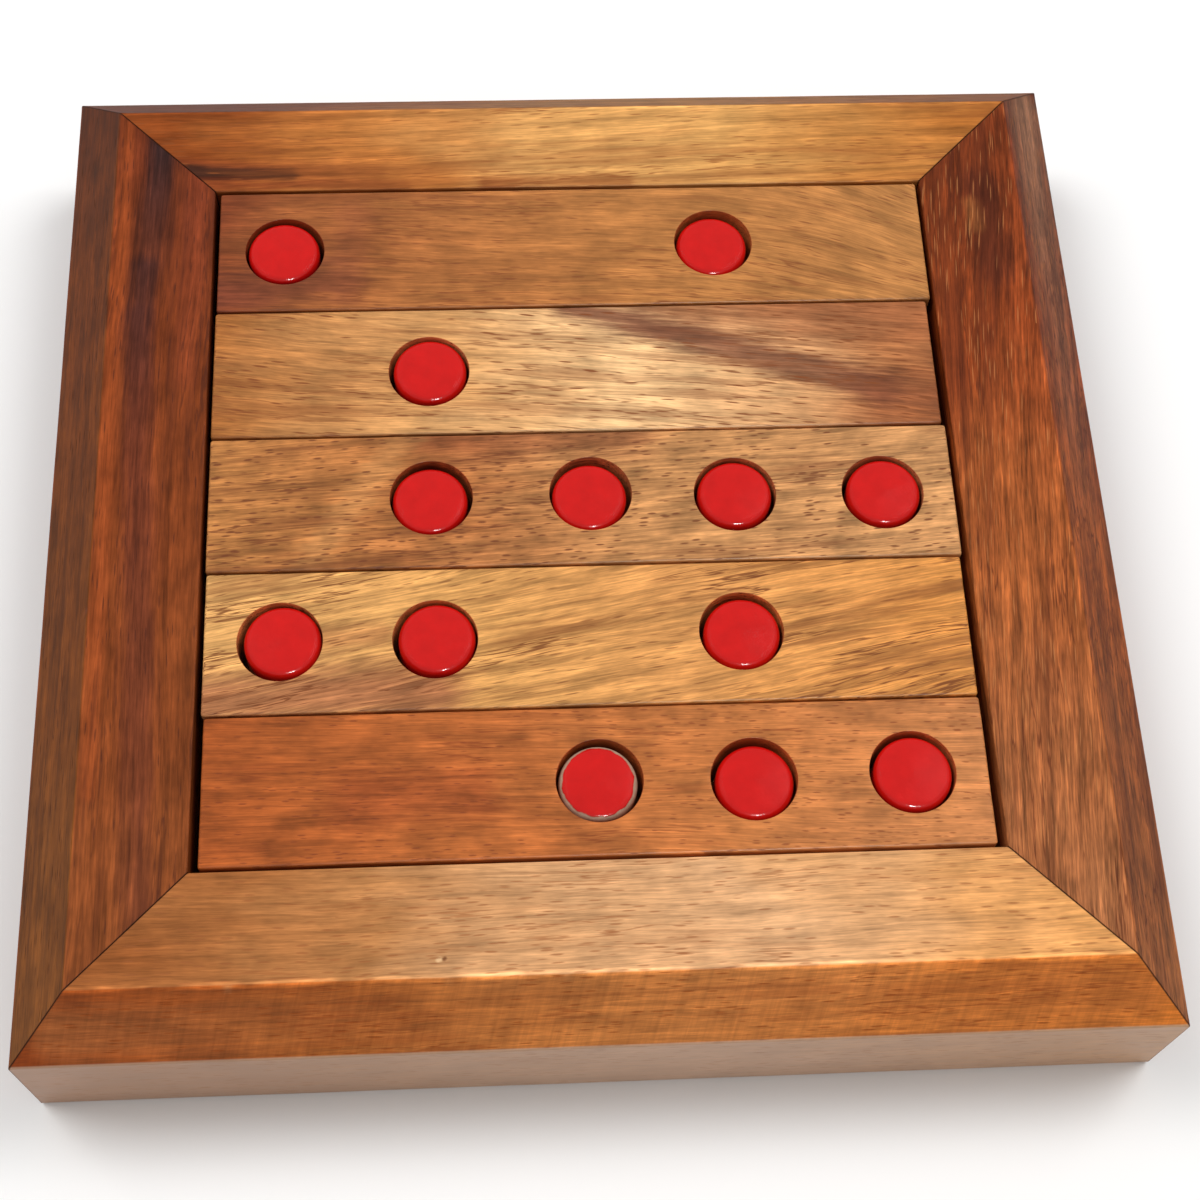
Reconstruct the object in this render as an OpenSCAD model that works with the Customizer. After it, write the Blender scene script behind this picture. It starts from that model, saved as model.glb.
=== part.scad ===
// Peg-and-slat tray puzzle.
// A mitred tray holds two crossed layers of five slats. The lower slats run front to back and carry
// upright pegs. The upper slats run left to right and are drilled so that every peg finds a hole.
// Origin: centre of the tray's underside. +X right, +Y to the back, +Z up. Millimetres.

/* [Slats] */
// Width of one slat
slat_width = 19.9; // [17:0.1:24]
// Thickness of one slat
slat_thickness = 10; // [8:0.5:14]
// Gap between neighbouring slats of one layer
slat_gap = 0.2; // [0.1:0.05:0.4]
// Play between a layer and the tray wall, on each side
layer_play = 0.35; // [0.2:0.05:0.6]
// Play of a lower slat between the front and the back wall, both ends together
lower_end_play = 1.2; // [0.8:0.1:2]
// Radius of the eased edges of a slat
slat_arris = 0.4; // [0.2:0.1:0.8]

/* [Pegs] */
// Diameter of a peg
peg_diameter = 10; // [8:0.5:10.5]
// Diameter of a hole in an upper slat
hole_diameter = 11; // [11:0.1:12]
// Radial glue gap between a peg and its socket in a lower slat
glue_gap = 0.05; // [0.03:0.01:0.1]
// Radius of the rounded rim of a peg's top
peg_rim = 1.0; // [0.8:0.1:2]
// Rise of the domed top from rim to middle
peg_crown = 0.35; // [0.1:0.05:0.5]

/* [Tray] */
// Width of a rail, from its outer face to the tray wall
rail_width = 21.6; // [18:0.1:26]
// Width and drop of the wide chamfer along a rail's outer top edge
rail_chamfer = 7.4; // [4:0.1:9]
// Radius of the eased edges of a rail
rail_arris = 0.7; // [0.3:0.1:1.2]
// Height of the floor panel's underside over the table
floor_recess = 4; // [2.5:0.5:6]
// Thickness of the floor panel
floor_thickness = 3; // [2.5:0.5:4]
// Depth of the groove that holds the floor panel
groove_depth = 3; // [2:0.5:5]
// Play of the floor panel in the bottom of each groove
groove_play = 0.2; // [0.1:0.1:0.5]

/* [Layout] */
// End play of each upper slat, both ends together, from the back row to the front row
upper_end_play = [1.2, 1.8, 1.4, 1.9, 2.2]; // each from 1 to 2.4
// Sideways place of each upper slat in that play
upper_shift = [0.1, -0.3, -0.1, -0.2, 0]; // each from -0.4 to 0.4
// Pegs: row from the back, column from the left, drift of the peg off the grid in x and in y,
// offset of its hole from the peg in x and in y, height of its top over the upper slats.
// Drifts are within 0.6, offsets within 0.4 in all and heights within 0.3.
pegs = [
    [1, 1, -0.5,  0.0,  0.2, -0.1,  0.1],
    [1, 4, -0.4,  0.0,  0.2,  0.2, -0.1],
    [2, 2, -0.3,  0.2, -0.1, -0.3,  0.1],
    [3, 2, -0.5,  0.2,  0.2,  0.2,  0.0],
    [3, 3,  0.6,  0.2,  0.2,  0.3,  0.1],
    [3, 4,  0.0,  0.1,  0.0, -0.2,  0.1],
    [3, 5,  0.0, -0.1, -0.2, -0.2,  0.1],
    [4, 1,  0.5,  0.3, -0.3, -0.2,  0.1],
    [4, 2,  0.2,  0.1, -0.2, -0.2,  0.1],
    [4, 4, -0.5, -0.2, -0.1,  0.1,  0.0],
    [5, 3,  0.0, -0.1,  0.2,  0.1, -0.1],
    [5, 4, -0.4, -0.6, -0.1,  0.2, -0.1],
    [5, 5, -0.4, -0.2, -0.1,  0.1,  0.2],
]; // rows and columns from 1 to 5

/* [Hidden] */
slat_count = 5;
slat_pitch = slat_width + slat_gap;
opening = slat_count * slat_pitch - slat_gap + 2 * layer_play;
tray_side = opening + 2 * rail_width;
floor_top = floor_recess + floor_thickness;
lower_top = floor_top + slat_thickness;
tray_height = lower_top + slat_thickness;
floor_side = opening + 2 * (groove_depth - groove_play);
lower_length = opening - lower_end_play;
arc_steps = 4;
round_facets = 96;
cut_margin = 1;

// Wood tones, from the back row to the front row and from the left column to the right column
upper_tones = [
    [0.66, 0.43, 0.24], [0.80, 0.60, 0.40], [0.68, 0.45, 0.27], [0.80, 0.55, 0.31], [0.68, 0.38, 0.21]
];
lower_tones = [
    [0.62, 0.42, 0.25], [0.72, 0.50, 0.30], [0.66, 0.42, 0.24], [0.74, 0.53, 0.33], [0.64, 0.40, 0.23]
];
light_rail_tone = [0.79, 0.55, 0.32];
dark_rail_tone = [0.50, 0.26, 0.14];
floor_tone = [0.80, 0.66, 0.46];
paint_tone = [0.75, 0.10, 0.08];

slat_numbers = [1 : slat_count];
function peg_name(p) = str("peg_r", p[0], "_c", p[1]);

function grid(index) = (index - (slat_count + 1) / 2) * slat_pitch;
function peg_place(p) = [grid(p[1]) + p[2], p[3] - grid(p[0])];
function hole_place(p) = peg_place(p) + [p[4], p[5]];
function unit(v) = v / norm(v);

// Points of a convex or concave outline with each corner turned into an arc of its own radius
function eased(outline, radii) = [
    for (i = [0 : len(outline) - 1])
        let (
            here = outline[i],
            back = unit(outline[(i + len(outline) - 1) % len(outline)] - here),
            ahead = unit(outline[(i + 1) % len(outline)] - here),
            half = acos(back * ahead) / 2,
            middle = here + unit(back + ahead) * radii[i] / sin(half),
            first = here + back * radii[i] / tan(half) - middle,
            last = here + ahead * radii[i] / tan(half) - middle
        )
        each radii[i] == 0 ? [here] : [
            for (step = [0 : arc_steps])
                middle + radii[i] * unit(first * (1 - step / arc_steps) + last * step / arc_steps)
        ]
];

function box_outline(width, depth) = [
    [-width / 2, -depth / 2], [width / 2, -depth / 2], [width / 2, depth / 2], [-width / 2, depth / 2]
];

module soft_box(size, arris) {
    radii = [arris, arris, arris, arris];
    intersection() {
        linear_extrude(size.z) polygon(eased(box_outline(size.x, size.y), radii));
        translate([-size.x / 2, 0, size.z / 2]) rotate([90, 0, 90])
            linear_extrude(size.x) polygon(eased(box_outline(size.y, size.z), radii));
        translate([0, size.y / 2, size.z / 2]) rotate([90, 0, 0])
            linear_extrude(size.y) polygon(eased(box_outline(size.x, size.z), radii));
    }
}

module through_hole(place, diameter) {
    translate([place.x, place.y, floor_top - cut_margin])
        cylinder(h = tray_height, d = diameter, $fn = round_facets);
}

// Section of a rail: x is the distance from the outer face, y the height
module rail_section() {
    ridge = tray_height - rail_chamfer;
    groove = rail_width - groove_depth;
    outline = [
        [0, 0], [rail_width, 0], [rail_width, floor_recess], [groove, floor_recess],
        [groove, floor_top], [rail_width, floor_top], [rail_width, tray_height],
        [rail_chamfer, tray_height], [0, ridge]
    ];
    soft = rail_arris;
    polygon(eased(outline, [soft, soft / 2, 0, 0, 0, 0, soft / 2, soft, soft]));
}

// One rail along the front, mitred at both ends
module front_side_rail() {
    half = tray_side / 2;
    intersection() {
        translate([-half, -half, 0]) rotate([90, 0, 90]) linear_extrude(tray_side) rail_section();
        linear_extrude(tray_height)
            polygon([[-half, -half], [half, -half], [half - rail_width, rail_width - half],
                [rail_width - half, rail_width - half]]);
    }
}

module front_rail() {
    color(light_rail_tone) front_side_rail();
}

module right_rail() {
    color(dark_rail_tone) rotate([0, 0, 90]) front_side_rail();
}

module back_rail() {
    color(light_rail_tone) rotate([0, 0, 180]) front_side_rail();
}

module left_rail() {
    color(dark_rail_tone) rotate([0, 0, 270]) front_side_rail();
}

module tray_floor() {
    color(floor_tone) translate([-floor_side / 2, -floor_side / 2, floor_recess])
        cube([floor_side, floor_side, floor_thickness]);
}

// Lower slat, with a socket right through it for each of its pegs
module peg_slat(column) {
    color(lower_tones[column - 1]) difference() {
        translate([grid(column), 0, floor_top])
            soft_box([slat_width, lower_length, slat_thickness], slat_arris);
        for (p = pegs) if (p[1] == column) through_hole(peg_place(p), peg_diameter + 2 * glue_gap);
    }
}

// Peg, standing on the tray floor and passing through both layers
module peg(p) {
    radius = peg_diameter / 2;
    height = 2 * slat_thickness + p[6];
    shoulder = height - peg_crown;
    profile = eased(
        [[0, 0], [radius, 0], [radius, shoulder], [0, height]],
        [0, slat_arris, peg_rim, 0]
    );
    place = peg_place(p);
    color(paint_tone) translate([place.x, place.y, floor_top])
        rotate_extrude($fn = round_facets) polygon(profile);
}

// Upper slat, drilled where pegs of the lower layer stand
module holed_slat(row) {
    length = opening - upper_end_play[row - 1];
    color(upper_tones[row - 1]) difference() {
        translate([upper_shift[row - 1], -grid(row), lower_top])
            soft_box([length, slat_width, slat_thickness], slat_arris);
        for (p = pegs) if (p[0] == row) through_hole(hole_place(p), hole_diameter);
    }
}

tray_floor();
front_rail();
right_rail();
back_rail();
left_rail();
for (n = slat_numbers) peg_slat(n);
for (p = pegs) peg(p);
for (n = slat_numbers) holed_slat(n);
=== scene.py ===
"""Looks of a peg-and-slat tray puzzle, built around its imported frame.

A mitred tray holds two crossed layers of five slats. The lower slats carry upright pegs with painted tops,
and the upper slats are drilled so that the pegs come up flush through them. Lengths are in metres, except in
the finishes, where a wood's figure is given in millimetres of the board.
"""

import logging
import math
from dataclasses import dataclass, field
from enum import Enum
from typing import Any, Mapping, Sequence

import bpy
import bmesh
from mathutils import Matrix, Vector

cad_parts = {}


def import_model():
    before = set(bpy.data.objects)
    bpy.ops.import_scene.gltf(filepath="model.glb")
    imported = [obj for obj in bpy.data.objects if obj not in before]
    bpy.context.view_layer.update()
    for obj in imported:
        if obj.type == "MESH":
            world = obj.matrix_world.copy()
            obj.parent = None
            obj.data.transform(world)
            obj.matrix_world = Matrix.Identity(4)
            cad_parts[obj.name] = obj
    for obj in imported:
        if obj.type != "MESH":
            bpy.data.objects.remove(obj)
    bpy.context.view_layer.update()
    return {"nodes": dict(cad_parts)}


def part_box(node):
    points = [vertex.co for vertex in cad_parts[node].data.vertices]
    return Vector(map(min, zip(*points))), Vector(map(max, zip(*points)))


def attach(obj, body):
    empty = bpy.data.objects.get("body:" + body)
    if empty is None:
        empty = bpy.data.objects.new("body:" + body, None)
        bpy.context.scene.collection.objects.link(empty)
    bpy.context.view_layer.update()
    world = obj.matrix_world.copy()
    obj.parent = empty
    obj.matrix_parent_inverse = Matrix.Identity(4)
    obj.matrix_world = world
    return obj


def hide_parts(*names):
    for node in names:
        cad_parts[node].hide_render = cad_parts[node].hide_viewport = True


LOG = logging.getLogger("tray_puzzle")
MM = 0.001
ROWS = range(1, 6)
HOLE_RADIUS = 5.5 * MM
HOLE_SEARCH = 6.6 * MM
GLUE_GAP = 0.05 * MM
WELD = 0.01 * MM
FINE_WELD = 0.002 * MM

Colour = tuple[float, float, float]
Socket = bpy.types.NodeSocket


def shade(red: int, green: int, blue: int) -> Colour:
    """Turns a display colour into the linear one that shaders take.

    Args:
        red: Red, from 0 to 255.
        green: Green, from 0 to 255.
        blue: Blue, from 0 to 255.

    Returns:
        The linear colour.
    """
    return tuple((part / 255.0 / 12.92) if part <= 10 else ((part / 255.0 + 0.055) / 1.055) ** 2.4
                 for part in (red, green, blue))


PLAIN = (1.0, 1.0, 1.0)
# Painted reflection: the grey of the pale floor on an outer face seen at a low angle.
BLOOM = shade(186, 149, 123)
GLUE = shade(52, 26, 16)


def blank_material(name: str) -> tuple[bpy.types.Material, bpy.types.Node]:
    """Makes a material with nothing but its surface.

    Args:
        name: The material's name.

    Returns:
        The material and its surface node.
    """
    made = bpy.data.materials.new(name)
    made.use_nodes = True
    return made, made.node_tree.nodes["Principled BSDF"]


class Run(Enum):
    """The way a board's grain runs, as the turn from the row's X axis to the grain, in quarter turns."""

    LEFT_TO_RIGHT = 0
    FRONT_TO_BACK = 1


class Side(Enum):
    """A side of the tray, as the quarter turns from the front one."""

    FRONT = 0
    RIGHT = 1
    BACK = 2
    LEFT = 3


class Streak(Enum):
    """Noise drawn out along the grain: features along and across it, finer layers and their strength."""

    FIBRE = (0.07, 1.5, 5.0, 0.7)
    HAIR = (0.3, 5.0, 2.0, 0.6)
    CLOUD = (0.14, 0.22, 3.0, 0.6)
    PATCH = (0.04, 0.12, 2.0, 0.5)
    VEIN = (0.024, 0.42, 4.0, 0.62)
    VEIN_CROWD = (0.035, 0.13, 2.0, 0.5)
    RING_WAVE = (0.02, 0.25, 2.0, 0.5)
    PORE_SHAKE = (0.3, 2.0, 1.0, 0.5)
    PORE_CROWD = (0.03, 0.16, 2.0, 0.5)
    STAIN_EDGE = (0.08, 0.3, 3.0, 0.5)
    WEAR = (0.12, 0.3, 3.0, 0.5)
    SWAY = (0.05, 0.2, 1.0, 0.5)
    NICK = (0.5, 0.0, 3.0, 0.5)


class Graph:
    """Adds nodes to one shader or geometry tree and joins them."""

    def __init__(self, tree: bpy.types.NodeTree) -> None:
        """Starts on a tree.

        Args:
            tree: The tree that takes the nodes.
        """
        self.tree = tree

    def node(self, kind: str, inputs: Mapping[Any, Any] | None = None, **settings: Any) -> bpy.types.Node:
        """Adds one node.

        Args:
            kind: The node's type name.
            inputs: Socket names or indices, each with the socket to join or the value to set.
            **settings: The node's own properties.

        Returns:
            The new node.
        """
        made = self.tree.nodes.new(kind)
        for name, value in settings.items():
            setattr(made, name, value)
        for name, value in (inputs or {}).items():
            self.feed(made.inputs[name], value)
        return made

    def result(self, kind: str, inputs: Mapping[Any, Any] | None = None, **settings: Any) -> Socket:
        """Adds one node and returns its first output."""
        return self.node(kind, inputs, **settings).outputs[0]

    def shape(self, kind: str, inputs: Mapping[Any, Any] | None = None, **settings: Any) -> Socket:
        """Adds a geometry node, named without its prefix, and returns its first output."""
        return self.result(f"GeometryNode{kind}", inputs, **settings)

    def feed(self, socket: Socket, value: Any) -> None:
        """Joins a socket to another, or sets its value.

        Args:
            socket: The input socket.
            value: An output socket, or a plain value.
        """
        if isinstance(value, bpy.types.NodeSocket):
            self.tree.links.new(value, socket)
        else:
            socket.default_value = value

    def math(self, operation: str, *values: Any, clamp: bool = False) -> Socket:
        """Adds a math node and returns its result, kept between 0 and 1 if clamp is set."""
        return self.result("ShaderNodeMath", dict(enumerate(values)), operation=operation, use_clamp=clamp)

    def vector(self, operation: str, *values: Any) -> Socket:
        """Adds a vector math node.

        Args:
            operation: The operation's type name.
            *values: Its vectors, or for SCALE a vector and a number.

        Returns:
            The result, a number for LENGTH and DOT_PRODUCT and else a vector.
        """
        made = self.node("ShaderNodeVectorMath", operation=operation)
        for index, value in enumerate(values):
            socket = made.inputs["Scale"] if operation == "SCALE" and index == 1 else made.inputs[index]
            self.feed(socket, value)
        return made.outputs[1 if operation in ("LENGTH", "DOT_PRODUCT") else 0]

    def times(self, first: Any, second: Any) -> Socket:
        """Adds a product of two numbers."""
        return self.math("MULTIPLY", first, second)

    def plus(self, first: Any, second: Any, clamp: bool = False) -> Socket:
        """Adds a sum of two numbers, kept between 0 and 1 if clamp is set."""
        return self.math("ADD", first, second, clamp=clamp)

    def minus(self, first: Any, second: Any, clamp: bool = False) -> Socket:
        """Adds the first number less the second, kept between 0 and 1 if clamp is set."""
        return self.math("SUBTRACT", first, second, clamp=clamp)

    def line(self, value: Any, slope: Any, start: Any) -> Socket:
        """Adds slope times a value, plus start."""
        return self.math("MULTIPLY_ADD", value, slope, start)

    def move(self, first: Any, second: Any) -> Socket:
        """Adds a sum of two vectors."""
        return self.vector("ADD", first, second)

    def between(self, first: Any, second: Any) -> Socket:
        """Adds the first vector less the second."""
        return self.vector("SUBTRACT", first, second)

    def stretch(self, place: Any, by: Any) -> Socket:
        """Adds a product of two vectors, axis by axis."""
        return self.vector("MULTIPLY", place, by)

    def scale(self, vector: Any, by: Any) -> Socket:
        """Adds a vector times a number."""
        return self.vector("SCALE", vector, by)

    def length(self, vector: Any) -> Socket:
        """Adds a vector's length."""
        return self.vector("LENGTH", vector)

    def named(self, key: str, kind: str = "FLOAT") -> Socket:
        """Adds the value of an attribute of the given data type."""
        return self.shape("InputNamedAttribute", {"Name": key}, data_type=kind)

    def kept(self, shape: Socket, key: str, value: Any, kind: str = "FLOAT", domain: str = "POINT") -> Socket:
        """Stores an attribute of the given data type on the points of a geometry, or on another domain."""
        return self.shape("StoreNamedAttribute", {0: shape, "Name": key, "Value": value},
                          data_type=kind, domain=domain)

    def welded(self, shape: Socket, distance: float) -> Socket:
        """Joins a geometry's points that are nearer to each other than the distance."""
        return self.shape("MergeByDistance", {0: shape, "Distance": distance})

    def joined(self, *shapes: Socket) -> Socket:
        """Joins geometries into one.

        Args:
            *shapes: The geometries.

        Returns:
            All of them.
        """
        made = self.node("GeometryNodeJoinGeometry")
        for shape in shapes:
            self.feed(made.inputs[0], shape)
        return made.outputs[0]

    def position(self) -> Socket:
        """Adds the place of a mesh's points."""
        return self.shape("InputPosition")

    def xyz(self, x: Any, y: Any, z: Any) -> Socket:
        """Adds a node that joins three numbers into a vector, and returns the vector."""
        return self.node("ShaderNodeCombineXYZ", {0: x, 1: y, 2: z}).outputs[0]

    def split(self, vector: Socket) -> Sequence[Socket]:
        """Adds a node that splits a vector, and returns its three numbers."""
        return self.node("ShaderNodeSeparateXYZ", {0: vector}).outputs

    def ramp(self, value: Any, low: Any, high: Any, start: Any = 0.0, end: Any = 1.0) -> Socket:
        """Adds a smooth step that gives start up to low, and end from high on."""
        return self.result("ShaderNodeMapRange", {0: value, 1: low, 2: high, 3: start, 4: end},
                           interpolation_type="SMOOTHSTEP")

    def noise(self, place: Socket, scale: float, detail: float = 2.0, rough: float = 0.5) -> Socket:
        """Adds noise around 0.5, with scale features per unit and detail finer layers as strong as rough."""
        return self.result("ShaderNodeTexNoise",
                           {"Vector": place, "Scale": scale, "Detail": detail, "Roughness": rough})

    def streaks(self, place: Socket, kind: Streak) -> Socket:
        """Adds noise around 0.5 that is drawn out along the grain, of one kind."""
        along, across, detail, rough = kind.value
        return self.noise(self.stretch(place, (along, across, across)), 1.0, detail, rough)

    def blend(self, share: Any, below: Any, above: Any) -> Socket:
        """Adds a colour mix.

        Args:
            share: How much of the second colour shows.
            below: The first colour.
            above: The second colour.

        Returns:
            The mixed colour.
        """
        made = self.node("ShaderNodeMix", {0: share}, data_type="RGBA")
        for socket, colour in ((made.inputs[6], below), (made.inputs[7], above)):
            self.feed(socket, colour if isinstance(colour, bpy.types.NodeSocket) else (*colour, 1.0))
        return made.outputs[2]


@dataclass(frozen=True)
class Board:
    """Where a piece of wood lies and which way its grain runs.

    Attributes:
        centre: Middle of the board.
        size: Its extents along the grain, across it and upwards.
        turn: Quarter turns from the row's X axis to the grain.
    """

    centre: Vector
    size: Vector
    turn: int

    @classmethod
    def of_node(cls, node: str, turn: int) -> "Board":
        """Reads a board from the frame.

        Args:
            node: The CAD node.
            turn: Quarter turns from the row's X axis to the grain.

        Returns:
            The board.
        """
        low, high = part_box(node)
        size = high - low
        along, across = (size.y, size.x) if turn % 2 else (size.x, size.y)
        return cls((low + high) / 2, Vector((along, across, size.z)), turn)

    def place(self, graph: Graph) -> Socket:
        """Adds the nodes that give a point's place on the board.

        Args:
            graph: The shader's graph.

        Returns:
            Millimetres from the board's middle: along the grain, across it and upwards.
        """
        angle = -self.turn * math.pi / 2
        centre = Matrix.Rotation(angle, 3, "Z") @ self.centre
        return graph.result("ShaderNodeMapping", {
            "Vector": graph.node("ShaderNodeTexCoord").outputs["Object"],
            "Location": -centre / MM, "Rotation": (0.0, 0.0, angle), "Scale": (1 / MM, 1 / MM, 1 / MM)})


@dataclass(frozen=True)
class Stain:
    """A band of another colour in a board, such as heartwood or a dark streak.

    Attributes:
        start: One end of its middle line, in millimetres along and across from the board's middle.
        end: The other end.
        reach: Millimetres from the middle line to where it has faded out.
        colour: Its colour.
        strength: How much it covers.
        fray: Millimetres by which its border wanders.
        fade: Share of its strength that is lost by its end.
    """

    start: tuple[float, float]
    end: tuple[float, float]
    reach: float
    colour: Colour
    strength: float = 0.7
    fray: float = 3.0
    fade: float = 0.0


@dataclass(frozen=True)
class WoodFinish:
    """A varnished board with its own figure. Lengths are in millimetres.

    Attributes:
        tones: Places along the board from 0 to 1, each with the wood's colour there.
        seed: Picks the board's own pattern.
        slope: How much the grain climbs across the board per millimetre along it.
        bend: How far the grain wanders sideways.
        droop: Place along the board from which the grain falls away, and how fast it then curves.
        pith: Place of the tree's heart, across and upwards from the board's middle.
        ring_gap: Distance between growth rings.
        ring_contrast: How dark the late wood is.
        fibre: Contrast of the fine fibres.
        vein: How strongly the long dark veins cover the wood.
        vein_share: Share of the wood that has veins.
        dark: Colour of the veins.
        mottle: Contrast of the cloudy patches.
        pores: Share of the possible pores that are there.
        pore_size: Length and width of a pore.
        pore_depth: How strongly a pore covers the wood.
        pore_colour: Colour of the pores, if not that of the veins.
        stains: Bands of another colour.
        sanding: Strength of the slanting scratches on the wide chamfer.
        chamfer_tint: What the wide chamfer multiplies the wood's colour by: painted shade, as the chamfer
            takes less light than the top, and partly the darker tone of its cut grain.
        face_tint: What the outer face multiplies it by: painted shade on that face, and on the front rail a
            painted greying like the reflection of the pale floor.
        face_haze: Share of the outer face that a painted grey reflection of the pale floor covers.
        wall_tint: What the walls of the holes multiply it by: painted shade inside the holes, and partly
            their bare end grain.
        wear: How pale the upper edge of the wide chamfer is made, partly wear and partly a painted highlight.
        roughness: Roughness of the surface.
        gloss: Strength of its mirror reflection.
        varnish: Weight of the clear coat.
    """

    tones: tuple[tuple[float, Colour], ...]
    seed: float = 0.0
    slope: float = 0.0
    bend: float = 2.5
    droop: tuple[float, float] = (0.0, 0.0)
    pith: tuple[float, float] = (-60.0, -20.0)
    ring_gap: float = 3.0
    ring_contrast: float = 0.2
    fibre: float = 0.3
    vein: float = 0.5
    vein_share: float = 0.35
    dark: Colour = shade(104, 54, 26)
    mottle: float = 0.2
    pores: float = 0.6
    pore_size: tuple[float, float] = (2.6, 0.26)
    pore_depth: float = 0.6
    pore_colour: Colour | None = None
    stains: tuple[Stain, ...] = ()
    sanding: float = 0.0
    chamfer_tint: Colour = PLAIN
    face_tint: Colour = (0.85, 0.82, 0.85)
    face_haze: float = 0.0
    wall_tint: Colour = (0.95, 0.66, 0.64)
    wear: float = 0.5
    roughness: float = 0.36
    gloss: float = 0.2
    varnish: float = 0.05

    def material(self, name: str, board: Board, chamfer: float = 0.0) -> bpy.types.Material:
        """Makes the board's material.

        Args:
            name: The material's name.
            board: Where the board lies.
            chamfer: Width of the wide chamfer along the outer top edge, or 0.

        Returns:
            The material.
        """
        made, surface = blank_material(name)
        wood = WoodGraph(made.node_tree, self, board)
        hair, pore = wood.streaks(wood.figure, Streak.HAIR), wood.pores()
        colour = wood.grown(hair, pore)
        height = wood.line(hair, 0.35, wood.times(pore, -1.0))
        rough = wood.line(wood.fibre, 0.2, self.roughness - 0.1)
        if chamfer:
            there, marks = wood.sanding(chamfer / MM)
            colour = wood.rail_colour(colour, there, marks, chamfer / MM)
            height = wood.line(marks, -self.sanding, height)
            rough = wood.line(there, 0.3, rough)
        else:
            # The walls of the holes get painted shade, as inside a hole, and partly the tone of bare end
            # grain.
            share = wood.node("ShaderNodeAttribute", attribute_name="hole_share").outputs["Fac"]
            wall = wood.ramp(share, 0.985, 1.0)
            colour = wood.stretch(colour, wood.blend(wall, PLAIN, self.wall_tint))
        for key, value in (
                ("Base Color", colour), ("Roughness", wood.line(pore, 0.2, rough)),
                ("Normal", wood.result("ShaderNodeBump", {
                    "Height": height, "Strength": 0.35, "Distance": 0.08 * MM})),
                ("Specular IOR Level", self.gloss), ("Coat Weight", self.varnish), ("Coat Roughness", 0.22)):
            wood.feed(surface.inputs[key], value)
        return made


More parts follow.
